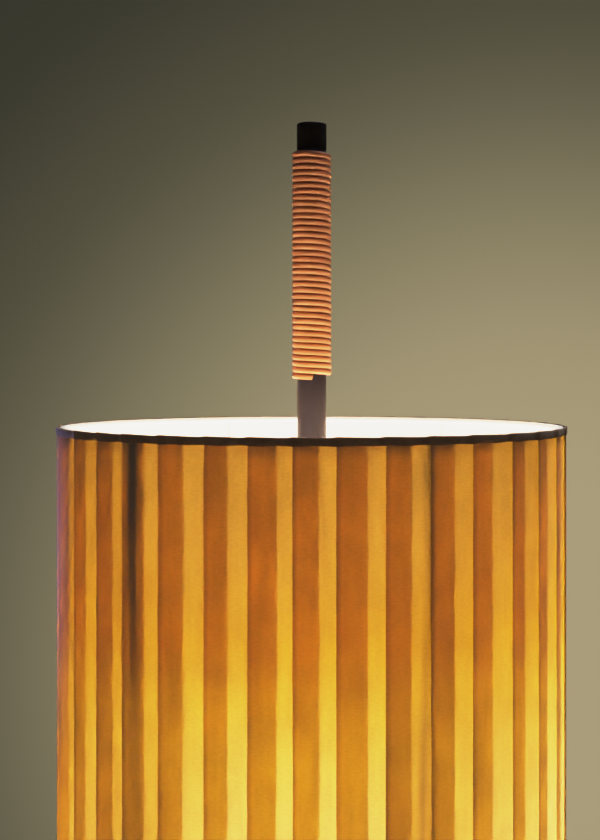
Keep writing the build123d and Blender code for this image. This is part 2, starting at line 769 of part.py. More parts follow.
make_base()
make_stem()
make_winding()
make_box()
make_arms()
make_lights()
make_seat()
make_shade()
nodes["grub_screws"] = Compound(grubs)

os.makedirs("parts", exist_ok=True)
for name, shape in nodes.items():
    export_step(shape, f"parts/{name}.step")
print(len(nodes), "nodes")
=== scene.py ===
import json
import math
import random

import bmesh
import bpy
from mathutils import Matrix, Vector


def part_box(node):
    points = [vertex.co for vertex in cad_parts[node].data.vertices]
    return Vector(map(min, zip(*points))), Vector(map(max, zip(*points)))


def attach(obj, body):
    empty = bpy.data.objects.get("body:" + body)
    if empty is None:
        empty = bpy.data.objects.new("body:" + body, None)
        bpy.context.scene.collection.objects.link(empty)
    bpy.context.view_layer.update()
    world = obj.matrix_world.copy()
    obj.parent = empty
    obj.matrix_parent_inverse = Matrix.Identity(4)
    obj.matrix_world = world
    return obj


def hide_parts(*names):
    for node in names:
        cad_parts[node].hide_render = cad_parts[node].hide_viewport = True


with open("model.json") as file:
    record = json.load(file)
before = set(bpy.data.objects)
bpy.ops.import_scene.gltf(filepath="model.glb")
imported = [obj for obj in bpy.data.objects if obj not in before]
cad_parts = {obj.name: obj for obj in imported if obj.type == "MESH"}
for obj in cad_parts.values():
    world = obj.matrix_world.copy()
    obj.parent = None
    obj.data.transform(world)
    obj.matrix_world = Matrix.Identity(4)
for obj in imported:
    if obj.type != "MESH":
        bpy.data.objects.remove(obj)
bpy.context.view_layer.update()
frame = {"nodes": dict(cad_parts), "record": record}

# The looks of a floor lamp with a pleated drum shade and a grip wound with cane.
# Lengths are metres and angles are degrees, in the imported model's own frame. A
# bearing is an angle round the stem, counted from the front, -Y, towards +X. It
# is in radians inside the materials.

nodes = frame["nodes"]
chance = random.Random(41)


def low(node):
    """A CAD node's lowest corner."""
    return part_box(node)[0]


def high(node):
    """A CAD node's highest corner."""
    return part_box(node)[1]


# The camera stands level with the grip's foot, five shade radii from the stem
camera_distance = 1.125
camera_height = 1.446
camera_lens = 53.85
camera_shift = (-0.0139, -0.0560)

# Sizes read from the frame
shade_top = high("shade_binding_top").z
shade_bottom = low("shade_binding_bottom").z
shade_radius = high("shade_binding_top").x
tape_height = shade_top - low("shade_binding_top").z
cloth_top = high("shade_pleats").z
cloth_bottom = low("shade_pleats").z
ring_wire = high("shade_top_ring").z - low("shade_top_ring").z
ring_inner = high("shade_top_ring").x - ring_wire
spider_height = (high("shade_spider").z + low("shade_spider").z) / 2
stem_radius = high("stem_upper").x
grip_top = high("stem_upper").z
cap_top = high("end_cap").z
cap_radius = high("end_cap").x
cane_bottom = low("cane_winding").z
cane_top = high("cane_winding").z
bulb_foot = low("bulb_cap_1").z
bulb_cap_top = high("bulb_cap_1").z
bulb_cap_radius = (high("bulb_cap_1").x - low("bulb_cap_1").x) / 2
bulb_top = high("bulb_glass_1").z
bulb_radius = (high("bulb_glass_1").x - low("bulb_glass_1").x) / 2
bulb_middle = bulb_top - bulb_radius

# Pleats: the bearings of the folds that face the camera, and the share of each of
# those pleats that lies three layers deep. The other folds are spaced evenly, give or
# take the play, and their shares differ by chance.
pleat_count = 38
front_folds = (-80.6, -71.3, -58.3, -48.5, -40.1, -30.7, -20.6, -12.0, -3.5,
               4.6, 13.9, 23.1, 32.6, 43.7, 53.3, 63.4)
front_shares = (0.50, 0.66, 0.50, 0.60, 0.60, 0.54, 0.54, 0.64, 0.60,
                0.63, 0.56, 0.56, 0.47, 0.46, 0.46, 0.50)
fold_play = 0.5
other_shares = (0.46, 0.62)

# A pleat's section: how far its face, its inner layer and its middle layer lie below
# the outer fold, and the parts of the way along each where there is a point. A crease
# turns back and ahead by angles.
fold_radius = 0.2238
face_drop = 0.0020
face_bow = 0.9
face_parts = (0.05, 0.12, 0.25, 0.40, 0.60, 0.80, 1.0)
layer_parts = (0.25, 0.6, 0.9)
inner_drop = 0.0025
middle_drop = 0.0014
middle_reach = 0.9
tuck_gap = 0.0006
crease_depth = 0.0004
crease_back = 0.06
crease_ahead = 0.02
crease_step = 0.0001
cloth_rows = 36

# How far a fold wanders to the side, and how far a layered share changes, on the way up
fold_drift = 0.0004
share_drift = 0.008

# Light through the pleats, as shares for a face and for its folded layers. A plain
# pleat has 1 or a little less for its face, and 1 for its layers. The leftmost pleats
# have 1 for both where they are plain.
plain_faces = (0.95, 1.0)
left_pleats = 5

# Painted shade: some pleats are darkened, and a few lightened a little, next to the rest. By number, from
# the left of the
# picture: the shares at the rim and half way down. At the foot they are plain.
painted_dim_pleats = {
    0: ((0.55, 0.92), (0.55, 1.22)),
    1: ((0.62, 1.02), (0.52, 1.08)),
    2: ((0.80, 0.96), (0.62, 1.04)),
    3: ((0.82, 0.90), (0.54, 0.98)),
    4: ((0.98, 0.97), (0.60, 0.97)),
    5: ((1.00, 1.00), (0.84, 1.00)),
    10: ((1.06, 1.06), (0.58, 0.94)),
    11: ((0.95, 1.09), (0.76, 0.97)),
    12: ((0.98, 1.06), (0.86, 1.05)),
    13: ((0.84, 1.02), (0.88, 1.00)),
}

# Tints of the light, for red, green and blue. A face has a factor and the power that
# its share is raised to, so a dimmer face is a warmer one. Along a fold's edge, up to a
# part of the way along its face, painted shade leaves a share of the face's light.
face_tint = ((1.0, 1.0), (0.96, 1.2), (1.1, 3.0))
folded_tint = (0.95, 1.12, 1.27)
fold_shade_share = 0.80
fold_shade_part = 0.1

# Rim tapes. A tape falls along each face until it rises again to the next fold. Its
# fold over the rim and its free edge waver by a size, at a pace in radians per degree.
tape_sheet = 0.0006
tape_gap = 0.0003
tape_corner = 0.0012
tape_corner_steps = 4
tape_dip = 0.0008
tape_land_radius = 0.2221
tape_edge_gap = 0.0002
tape_edge_bevel = 0.0003
tape_parts = (0.0, 0.06, 0.2, 0.35, 0.5, 0.65, 0.78, 0.86, 0.91, 0.955)
tape_step_start = 0.86
tape_step_curve = 0.8
rim_waver, rim_pace = 0.00004, 1.7
edge_waver, edge_pace = 0.00025, 0.9

# The ribbon ends under the dips of the tapes
ribbon_inset = 0.0006
ribbon_foot = cloth_bottom + ribbon_inset
ribbon_head = cloth_top - ribbon_inset

# Frame wires, as in the CAD
strut_count = 6
first_strut_bearing = 23.0
strut_radius = 0.2188
strut_wire = 0.0020

# Weld beads, as points of a distance along the wire and a swelling of it
ring_bead = ((-0.0045, 0.00005), (-0.0025, 0.0001), (-0.0010, 0.0002), (0.0004, -0.0001))
arm_bead = ((-0.0040, 0.00006), (-0.0018, 0.0003), (-0.0004, 0.0004), (0.0003, 0.0))
bead_sides = 14

# The white lining lies between the frame and the ribbon
lining_gap = 0.0003
lining_radius = strut_radius + strut_wire + lining_gap
lining_inset = 0.00085
hem_corner = 0.0004
lining_rows = 24
lining_columns = 152

# Cane: an oval strand wound side by side, left-handed, its lower end at the front. Each
# turn presses a little into the next. It wavers in height and in thickness, in so many
# waves along its length, which ease in and out over half a turn.
cane_depth = 0.0021
cane_turns = 36.35
cane_press = 0.00002
cane_pitch = (cane_top - cane_bottom - 2 * cane_press) / (cane_turns + 1)
cane_half_height = cane_pitch / 2 + cane_press
cane_gap = 0.0003
cane_centre = stem_radius + cane_gap + cane_depth
cane_end_bearing = 3.2
cane_cut = 2.9
cane_lean = 0.00005
cane_lean_waves = 9.0
cane_swell = 0.012
cane_swell_waves = 14.0
cane_ease = 2.2
cane_squareness = (0.78, 0.90)
cane_steps = 44
cane_sides = 20

# The black plug on the grip: the eased edges of its head, the share of its radius and
# the drop where the top starts to fall, and the part inside the tube
cap_edge = 0.0014
cap_foot_edge = 0.0004
cap_crown = (0.55, 0.00002)
plug_inset = 0.00215
plug_chamfer = 0.001

# Bulbs: the angle below the middle where the globe turns into the neck, and the neck
# with its end inside the cap
shoulder_angle = 38
neck_inset = 0.0012
neck_pinch = 0.0012
neck_curve = 0.85
neck_steps = 8
neck_lap = 0.0004
neck_end_inset = 0.0008
neck_end_depth = 0.003

# The bulbs' caps: a rolled thread that fades out at both ends, over an insulating cone
# of (radius, height) points
thread_pitch = 0.003629
thread_depth = 0.0008
thread_foot = bulb_foot + 0.0045
thread_fade = 0.002
thread_head_gap = 0.0015
thread_root = bulb_cap_radius - thread_depth
thread_sides = 48
thread_steps = 64
lip_radius = thread_root - 0.0006
cone = ((0.0047, bulb_foot), (0.0074, bulb_foot + 0.0004), (thread_root - 0.0012, thread_foot - 0.0005))

# The ribbon's colours: what it sends back, and what it lets through, painted as light from well off the
# bulbs' height to level with it: redder away from the bulbs, yellower near them. The weave lets more or
# less through with its tone.
ribbon_front = ((0.38, (0.72, 0.56, 0.42)), (0.62, (0.82, 0.66, 0.52)))
ribbon_through_painted = ((0.0, (1.0, 0.70, 0.070)), (0.33, (0.95, 0.675, 0.034)), (0.50, (0.965, 0.745, 0.065)),
                  (0.65, (0.94, 0.75, 0.115)), (1.0, (0.92, 0.745, 0.215)))
ribbon_reach = (0.03, 0.28)
ribbon_weave = (0.80, 1.0)
ribbon_weave_range = (0.40, 0.58)
ribbon_share = 0.715

# Left and right of the picture differ a little. These bearings, in radians, are where
# the left values of a pair start to give way and where the right ones hold.
left_to_right = (-0.3, 0.2)

# The struts' shadows. Far from the bulbs' height a shadow has a dark core in a haze,
# turned a little from its strut. Near it there is a soft one, which drifts towards the
# front. Widths are off the strut's line, heights are off the bulbs' middle, and pairs of
# strengths and drifts are for left and right.
shadow_turn = -0.4
core_width = (0.0020, 0.0046)
haze_width = (0.0, 0.0130)
core_weight, haze_weight = 0.70, 0.30
sharp_heights = (0.12, 0.31)
sharp_strength = (0.74, 0.33)
soft_width = (0.0005, 0.0060)
soft_heights = (0.12, 0.28)
soft_strength = (0.08, 0.58)
drift_heights = (0.08, 0.28)
soft_drift = (math.radians(1.3), math.radians(-1.6))

# The rings' shadows: what they leave, and where they start and end, from the cloth's end
ring_shadow = 0.70
ring_shadow_reach = (0.016, 0.005)

# The lining's colours, and the share that it lets through. Painted light raises that share over the struts
# near the bulbs' height, and further from that at the right, to lift the struts' cast shadows there.
lining_white = ((0.3, (0.86, 0.855, 0.84)), (0.7, (0.93, 0.925, 0.91)))
lining_through = ((0.3, (0.88, 0.87, 0.85)), (0.7, (0.98, 0.97, 0.95)))
lining_share = 0.12
shadow_lift_share = (0.22, 0.36)
shadow_lift_width = (0.0014, 0.0032)
shadow_lift_heights = (0.08, 0.27)
shadow_lift_reach = (0.0, 0.09)

# Colours of the tape, and of the cane near its lower and its upper end and in its
# grooves. The cane's lower end is painted paler and yellower, as light from the shade below, and its
# grooves are painted shade.
# The groove's colour gives way to the crown's over a range outwards on the strand's section, and the
# crown's keeps one share low on the section and one high on it, as painted light from below.
tape_tones = ((0.30, (0.110, 0.060, 0.034)), (0.70, (0.290, 0.165, 0.095)))
twill_slant = 52.0
cane_low_tones = ((0.38, (0.30, 0.150, 0.052)), (0.50, (0.38, 0.203, 0.078)),
                  (0.62, (0.46, 0.257, 0.117)))
cane_high_tones = ((0.38, (0.25, 0.134, 0.083)), (0.50, (0.31, 0.180, 0.110)),
                   (0.62, (0.37, 0.235, 0.147)))
cane_groove_shade = (0.240, 0.040, 0.010)
cane_crest = (0.05, 0.60)
cane_underlight = (1.0, 0.25)
cane_underlight_range = (-0.85, 0.50)

# The bulbs' glass and light, and the share of the light at the neck
bulb_white = (0.9, 0.88, 0.84)
bulb_colour = (1.0, 0.61, 0.38)
bulb_light = 300.0
neck_light = 0.15

# Plain looks by slot: a colour and a roughness, patches and grain at scales per metre,
# how far the colour and the roughness spread, and the height of the grain
plain_looks = {
    "felt": dict(colour=(0.035, 0.034, 0.036), roughness=0.95, patch=40.0, grain=1400.0,
                 spread=0.35, rough_spread=0.04, relief=0.0003),
    "cast_weight": dict(colour=(0.055, 0.052, 0.050), roughness=0.75, metallic=0.3, patch=30.0,
                        grain=420.0, spread=0.3, relief=0.0004),
    "stem_paint": dict(colour=(0.0150, 0.0152, 0.0235), roughness=0.40, metallic=0.6, patch=14.0,
                       grain=1300.0, spread=0.18, rough_spread=0.07, relief=0.00003),
    "fastener_steel": dict(colour=(0.56, 0.56, 0.55), roughness=0.32, metallic=1.0, patch=120.0,
                           grain=2200.0, spread=0.12, rough_spread=0.1),
    "gland_rubber": dict(colour=(0.022, 0.022, 0.023), roughness=0.72, patch=60.0, grain=1500.0,
                         spread=0.25, rough_spread=0.08),
    "terminal_plastic": dict(colour=(0.70, 0.68, 0.62), roughness=0.48, patch=50.0, grain=1200.0,
                             spread=0.06),
    "terminal_ceramic": dict(colour=(0.82, 0.80, 0.75), roughness=0.62, patch=70.0, grain=900.0,
                             spread=0.07, rough_spread=0.1, relief=0.0001, speck=(0.62, 0.57, 0.50)),
    "lead_sheath": dict(colour=(0.78, 0.77, 0.73), roughness=0.42, patch=40.0, grain=800.0,
                        spread=0.06),
    "cap_black": dict(colour=(0.004, 0.0035, 0.0035), roughness=0.55, patch=45.0, grain=1600.0,
                      spread=0.3, rough_spread=0.08, relief=0.00003, specular=0.15),
    "contact_brass": dict(colour=(0.78, 0.58, 0.26), roughness=0.28, metallic=1.0, patch=160.0,
                          grain=1800.0, spread=0.15, rough_spread=0.1),
    "washer_nylon": dict(colour=(0.85, 0.84, 0.79), roughness=0.45, patch=80.0, grain=900.0,
                         spread=0.05),
    "frame_white": dict(colour=(0.80, 0.79, 0.75), roughness=0.38, patch=60.0, grain=1200.0,
                        spread=0.05, rough_spread=0.1, relief=0.00008),
    "holder_black": dict(colour=(0.020, 0.017, 0.015), roughness=0.26, patch=70.0, grain=1500.0,
                         spread=0.3, rough_spread=0.07),
    "bulb_cap_metal": dict(colour=(0.72, 0.71, 0.69), roughness=0.3, metallic=1.0, patch=140.0,
                           grain=1600.0, spread=0.1, rough_spread=0.1),
}

# The range of a plain look's tone over which its colour and its gloss change
tone_low, tone_high = 0.35, 0.65

# The floor, and where it starts to melt into the backdrop
floor_radius = 2.6
floor_rings = 10
floor_melt = 1.1
floor_tones = ((0.3, (0.73, 0.72, 0.69)), (0.7, (0.78, 0.77, 0.74)))

# The backdrop's tones, from the side away from a direction to the side it points at
backdrop_way = Vector((0.18, 1.0, -0.22)).normalized()
backdrop = ((0.0, (0.105, 0.100, 0.088)), (0.50, (0.100, 0.096, 0.080)), (0.86, (0.040, 0.038, 0.026)),
            (0.913, (0.036, 0.035, 0.025)), (0.943, (0.086, 0.080, 0.048)), (0.960, (0.140, 0.125, 0.078)),
            (0.978, (0.290, 0.250, 0.140)), (0.992, (0.410, 0.340, 0.200)))

# The picture's shoulder: how bright a linear value is shown, up to the brightest
film_reach = 40.0
film_shoulder = ((0.20, 0.20), (0.35, 0.345), (0.60, 0.57), (0.90, 0.74), (1.40, 0.84), (2.20, 0.885),
                 (5.0, 0.915), (14.0, 0.95), (film_reach, 1.0))


# Meshes

def at(radius, bearing, height):
    """The point at a radius and bearing round the stem."""
    angle = math.radians(bearing)
    return Vector((radius * math.sin(angle), -radius * math.cos(angle), height))


def ring(centre, radius, height, steps):
    """Points round a vertical line, at one height."""
    return [Vector((centre[0] + radius * math.cos(2 * math.pi * s / steps),
                    centre[1] + radius * math.sin(2 * math.pi * s / steps), height))
            for s in range(steps)]


def link(name, mesh, sharp=35.0):
    """A new object for a mesh, smooth but for edges sharper than an angle."""
    mesh.validate()
    mesh.shade_smooth()
    mesh.set_sharp_from_angle(angle=math.radians(sharp))
    piece = bpy.data.objects.new(name, mesh)
    bpy.context.scene.collection.objects.link(piece)
    return piece


def skin(name, rows, closed=False, ends=False, sharp=35.0):
    """A surface through rows of points, each closed on itself.

    The last row joins the first where closed is set, and ends caps the first and last.
    """
    verts = [p for row in rows for p in row]
    count = len(rows[0])
    faces = []
    for r in range(len(rows) if closed else len(rows) - 1):
        here, there = r * count, (r + 1) % len(rows) * count
        for c in range(count):
            n = (c + 1) % count
            faces.append((here + c, here + n, there + n, there + c))
    if ends:
        faces.append(tuple(reversed(range(count))))
        faces.append(tuple(range((len(rows) - 1) * count, len(rows) * count)))
    mesh = bpy.data.meshes.new(name)
    mesh.from_pydata(verts, [], faces)
    return link(name, mesh, sharp)


def turned(name, outline, centre=(0.0, 0.0), steps=72):
    """A solid of revolution about a vertical line, from (radius, height) points, top to bottom."""
    shape = bmesh.new()
    rows = [[shape.verts.new(p) for p in ring(centre, radius, height, steps)] if radius > 0
            else [shape.verts.new((*centre, height))] for radius, height in outline]
    for upper, lower in zip(rows, rows[1:]):
        for s in range(steps):
            n = (s + 1) % steps
            corners = [upper[s % len(upper)], lower[s % len(lower)],
                       lower[n % len(lower)], upper[n % len(upper)]]
            face = list(dict.fromkeys(corners))
            if len(face) > 2:
                shape.faces.new(face)
    mesh = bpy.data.meshes.new(name)
    shape.to_mesh(mesh)
    shape.free()
    return link(name, mesh)


def rounded(centre_r, centre_z, radius, start, end, steps=6):
    """Points of an arc, as (radius, height), between two angles above the horizontal."""
    return [(centre_r + radius * math.cos(math.radians(start + (end - start) * s / steps)),
             centre_z + radius * math.sin(math.radians(start + (end - start) * s / steps)))
            for s in range(steps + 1)]


def dress(piece, look, body, slot, *replaced):
    """Gives a new piece its material and body, and hides the CAD nodes it stands for. Its slot is not used.
    """
    piece.data.materials.append(look)
    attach(piece, body)
    if replaced:
        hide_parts(*replaced)


# Shader nodes

def add(tree, kind, inputs=None, **settings):
    """A shader node, with its settings, and its inputs linked or set."""
    made = tree.nodes.new("ShaderNode" + kind)
    for key, value in settings.items():
        setattr(made, key, value)
    for key, value in (inputs or {}).items():
        if isinstance(value, bpy.types.NodeSocket):
            tree.links.new(value, made.inputs[key])
        else:
            made.inputs[key].default_value = value
    return made


def blank(name):
    """A material with only its output, and the output."""
    look = bpy.data.materials.new(name)
    look.use_nodes = True
    look.node_tree.nodes.clear()
    return look, look.node_tree, look.node_tree.nodes.new("ShaderNodeOutputMaterial")


def place(tree):
    """The object's own coordinates."""
    return add(tree, "TexCoord").outputs["Object"]


def scaled(tree, where, factors):
    """Coordinates stretched along each axis."""
    return add(tree, "Mapping", {"Vector": where, "Scale": factors}).outputs["Vector"]


def noise(tree, where, scale, detail=4.0, rough=0.55):
    """Noise from 0 to 1 at a scale per metre."""
    return add(tree, "TexNoise", {"Vector": where, "Scale": scale, "Detail": detail,
                                  "Roughness": rough}).outputs["Fac"]


def ramp(tree, value, *stops):
    """A colour or grey that follows a value, from (place, colour) stops."""
    band = add(tree, "ValToRGB", {"Fac": value})
    for extra in stops[2:]:
        band.color_ramp.elements.new(extra[0])
    for element, (position, colour) in zip(band.color_ramp.elements, sorted(stops)):
        element.position = position
        element.color = (*colour, 1.0) if isinstance(colour, tuple) else (colour, colour, colour, 1.0)
    return band.outputs["Color"]


def remap(tree, value, low_out, high_out, low_in=0.3, high_in=0.7):
    """A value moved from one range to another, and kept inside it."""
    return add(tree, "MapRange", {"Value": value, "From Min": low_in, "From Max": high_in,
                                  "To Min": low_out, "To Max": high_out}).outputs["Result"]


def join(tree, how, a, b):
    """Two values put together by a Math node."""
    return add(tree, "Math", {0: a, 1: b}, operation=how).outputs[0]


def times(tree, a, b):
    """The product of two values."""
    return join(tree, "MULTIPLY", a, b)


def minus(tree, a, b):
    """One value less another."""
    return join(tree, "SUBTRACT", a, b)


def weighted(tree, *parts):
    """The sum of some values, each times its weight."""
    products = [times(tree, value, weight) for value, weight in parts]
    total = products[0]
    for product in products[1:]:
        total = join(tree, "ADD", total, product)
    return total


def mixed(tree, factor, a, b):
    """Two colours mixed by a value."""
    a, b = [(*colour, 1.0) if isinstance(colour, tuple) else colour for colour in (a, b)]
    return add(tree, "Mix", {"Factor": factor, "A": a, "B": b}, data_type="RGBA").outputs["Result"]


def bumped(tree, height, distance, strength=1.0):
    """A normal bent by a height, which spans a distance in metres."""
    return add(tree, "Bump", {"Height": height, "Distance": distance,
                              "Strength": strength}).outputs["Normal"]


def shade_of(colour, share):
    """A colour made darker or paler by a share."""
    return tuple(min(c * share, 1.0) for c in colour)


def round_place(tree, radius):
    """A point unrolled round the stem, as a vector, and its bearing and its height."""
    parts = add(tree, "SeparateXYZ", {"Vector": place(tree)}).outputs
    bearing = join(tree, "ARCTAN2", parts["X"], times(tree, parts["Y"], -1.0))
    along = times(tree, bearing, radius)
    return add(tree, "CombineXYZ", {"X": along, "Z": parts["Z"]}).outputs["Vector"], bearing, parts["Z"]


def strut_place(tree, bearing, height, turn=0.0):
    """How far a point lies off the nearest strut, and how far off the bulbs' height."""
    turned_back = minus(tree, bearing, math.radians(first_strut_bearing + turn))
    half_gap = math.radians(180 / strut_count)
    aside = add(tree, "Math", {0: turned_back, 1: half_gap, 2: -half_gap}, operation="WRAP").outputs[0]
    off = times(tree, join(tree, "ABSOLUTE", aside, 0.0), strut_radius)
    return off, join(tree, "ABSOLUTE", minus(tree, height, bulb_middle), 0.0)


# Materials

def surface(name, colour, roughness, patch, grain, spread, metallic=0.0, rough_spread=0.12,
            relief=0.00005, speck=None, specular=0.5):
    """A material of one colour that drifts in patches, with a fine grain in its gloss and height."""
    look, tree, out = blank(name)
    where = place(tree)
    drift = noise(tree, where, patch, detail=3.0)
    fine = noise(tree, where, grain, detail=5.0, rough=0.6)
    tone = weighted(tree, (drift, 0.7), (fine, 0.3))
    base = ramp(tree, tone, (tone_low, shade_of(colour, 1.0 - spread)),
                (tone_high, shade_of(colour, 1.0 + spread)))
    if speck:
        spots = ramp(tree, noise(tree, where, grain / 6, detail=2.0), (0.62, 0.0), (0.70, 1.0))
        base = mixed(tree, spots, base, speck)
    shine = remap(tree, tone, roughness - rough_spread, roughness + rough_spread, tone_low, tone_high)
    bsdf = add(tree, "BsdfPrincipled", {"Base Color": base, "Roughness": shine, "Metallic": metallic,
                                        "Specular IOR Level": specular,
                                        "Normal": bumped(tree, fine, relief)})
    tree.links.new(bsdf.outputs[0], out.inputs[0])
    return look


def frame_shadow(tree, bearing, height):
    """The share of the light that struts and rings leave for one thickness of ribbon."""
    off, from_bulbs = strut_place(tree, bearing, height, shadow_turn)
    dark = weighted(tree, (remap(tree, off, 1.0, 0.0, *core_width), core_weight),
                    (remap(tree, off, 1.0, 0.0, *haze_width), haze_weight))
    strength = times(tree, remap(tree, from_bulbs, 0.0, 1.0, *sharp_heights),
                     remap(tree, bearing, *sharp_strength, *left_to_right))
    left = minus(tree, 1.0, times(tree, dark, strength))

    drift = times(tree, remap(tree, bearing, *soft_drift, *left_to_right),
                  remap(tree, from_bulbs, 1.0, 0.0, *drift_heights))
    soft_off = strut_place(tree, minus(tree, bearing, drift), height)[0]
    soft = times(tree, remap(tree, soft_off, 1.0, 0.0, *soft_width),
                 remap(tree, from_bulbs, 1.0, 0.0, *soft_heights))
    strength = remap(tree, bearing, *soft_strength, *left_to_right)
    left = times(tree, left, minus(tree, 1.0, times(tree, soft, strength)))

    from_middle = join(tree, "ABSOLUTE", minus(tree, height, (cloth_top + cloth_bottom) / 2), 0.0)
    reach = (cloth_top - cloth_bottom) / 2
    rings = remap(tree, from_middle, 1.0, ring_shadow, *[reach - inset for inset in ring_shadow_reach])
    return times(tree, left, rings), from_bulbs


def ribbon_look():
    """Raw ribbon: fine ribs across, slubs, and amber light through it, painted yellower near the bulbs'
    height, with painted shadows of the frame.
    """
    look, tree, out = blank("ribbon")
    where, bearing, height = round_place(tree, fold_radius)
    light, from_bulbs = frame_shadow(tree, bearing, height)
    slub = noise(tree, scaled(tree, where, (1.0, 1.0, 3.0)), scale=260.0, rough=0.6)
    cloudy = noise(tree, where, scale=34.0, detail=3.0)
    streak = noise(tree, scaled(tree, where, (1.0, 1.0, 0.08)), scale=170.0, detail=3.0)
    threads = add(tree, "TexWave", {"Vector": where, "Scale": 300.0, "Distortion": 0.6, "Detail": 2.0,
                                    "Detail Scale": 2.0}, bands_direction="Z").outputs["Fac"]
    tone = weighted(tree, (slub, 0.40), (cloudy, 0.35), (streak, 0.25))
    front = ramp(tree, tone, *ribbon_front)
    # Painted light: the colour let through follows the distance from the bulbs' height
    painted_hue = ramp(tree, remap(tree, from_bulbs, 1.0, 0.0, *ribbon_reach), *ribbon_through_painted)
    weave = remap(tree, tone, *ribbon_weave, *ribbon_weave_range)
    # The shares of light through each pleat, painted shade included
    clearness_and_shade = add(tree, "Attribute", attribute_name="clear").outputs["Vector"]
    tinted = add(tree, "VectorMath", {0: painted_hue, 1: clearness_and_shade}, operation="MULTIPLY").outputs["Vector"]
    share = times(tree, weave, light)
    through = add(tree, "VectorMath", {0: tinted, "Scale": share}, operation="SCALE").outputs["Vector"]
    relief = join(tree, "ADD", times(tree, threads, 0.35), slub)
    normal = bumped(tree, relief, distance=0.00012, strength=0.5)
    cloth = add(tree, "BsdfPrincipled", {"Base Color": front, "Roughness": 0.72, "Normal": normal,
                                         "Sheen Weight": 0.25, "Sheen Roughness": 0.4})
    glow = add(tree, "BsdfTranslucent", {"Color": through, "Normal": normal})
    both = add(tree, "MixShader", {0: ribbon_share, 1: cloth.outputs[0], 2: glow.outputs[0]})
    tree.links.new(both.outputs[0], out.inputs[0])
    return look


def lining_look():
    """White lining that spreads the bulbs' light, with painted light over the struts near the bulbs that
    lifts their shadows.
    """
    look, tree, out = blank("lining")
    where, bearing, height = round_place(tree, lining_radius)
    mottle = noise(tree, where, scale=120.0)
    film = add(tree, "BsdfPrincipled", {"Base Color": ramp(tree, mottle, *lining_white),
                                        "Roughness": 0.65,
                                        "Normal": bumped(tree, mottle, distance=0.00005)})
    glow = add(tree, "BsdfTranslucent", {"Color": ramp(tree, mottle, *lining_through)})
    # Painted light: the lining lets more through over the struts, lifting their cast shadows
    off, from_bulbs = strut_place(tree, bearing, height)
    beyond = minus(tree, from_bulbs, remap(tree, bearing, *shadow_lift_reach, *left_to_right))
    shadow_lift = times(tree, remap(tree, off, 1.0, 0.0, *shadow_lift_width),
                 remap(tree, beyond, 1.0, 0.0, *shadow_lift_heights))
    extra = minus(tree, remap(tree, bearing, *shadow_lift_share, *left_to_right), lining_share)
    share = join(tree, "ADD", lining_share, times(tree, shadow_lift, extra))
    both = add(tree, "MixShader", {0: share, 1: film.outputs[0], 2: glow.outputs[0]})
    tree.links.new(both.outputs[0], out.inputs[0])
    return look


def tape_look():
    """Dark woven tape with a fine twill."""
    look, tree, out = blank("binding_tape")
    where = round_place(tree, shade_radius)[0]
    slant = (0.0, math.radians(twill_slant), 0.0)
    slanted = add(tree, "Mapping", {"Vector": where, "Rotation": slant}).outputs["Vector"]
    twill = add(tree, "TexWave", {"Vector": slanted, "Scale": 420.0, "Distortion": 0.8, "Detail": 2.0},
                bands_direction="X").outputs["Fac"]
    wear_and_underlight = noise(tree, where, scale=90.0)
    tone = weighted(tree, (twill, 0.4), (wear_and_underlight, 0.6))
    bsdf = add(tree, "BsdfPrincipled", {"Base Color": ramp(tree, tone, *tape_tones), "Roughness": 0.88,
                                        "Sheen Weight": 0.15,
                                        "Normal": bumped(tree, twill, distance=0.00015, strength=0.7)})
    tree.links.new(bsdf.outputs[0], out.inputs[0])
    return look


def cane_look():
    """Round cane: long fibres, paler and redder stretches, painted light low on each strand and towards its
    foot, and painted shade in the grooves.

    The strand's attribute holds the way along it, and how far out and how far up on its section.
    """
    look, tree, out = blank("cane")
    strand = add(tree, "Attribute", attribute_name="strand").outputs["Vector"]
    parts = add(tree, "SeparateXYZ", {"Vector": strand}).outputs
    fibre = noise(tree, scaled(tree, strand, (0.5, 0.25, 0.25)), scale=26.0, detail=5.0, rough=0.65)
    along = add(tree, "CombineXYZ", {"X": parts["X"]}).outputs["Vector"]
    stretch = noise(tree, along, scale=16.0, detail=3.0)
    tone = weighted(tree, (fibre, 0.35), (stretch, 0.65))
    upward = remap(tree, parts["X"], 0.0, 1.0, 0.0, 2 * math.pi * cane_centre * cane_turns)
    # Painted light: paler and yellower towards the grip's foot, near the shade
    crown = mixed(tree, upward, ramp(tree, tone, *cane_low_tones), ramp(tree, tone, *cane_high_tones))
    # Painted shade in the grooves, and painted light on each strand's underside
    crest = remap(tree, parts["Y"], 0.0, 1.0, *cane_crest)
    wear_and_underlight = remap(tree, parts["Z"], *cane_underlight, *cane_underlight_range)
    base = mixed(tree, times(tree, crest, wear_and_underlight), cane_groove_shade, crown)
    bsdf = add(tree, "BsdfPrincipled", {"Base Color": base, "Roughness": remap(tree, fibre, 0.46, 0.60),
                                        "Specular IOR Level": 0.3,
                                        "Normal": bumped(tree, fibre, distance=0.00004, strength=0.6)})
    tree.links.new(bsdf.outputs[0], out.inputs[0])
    return look


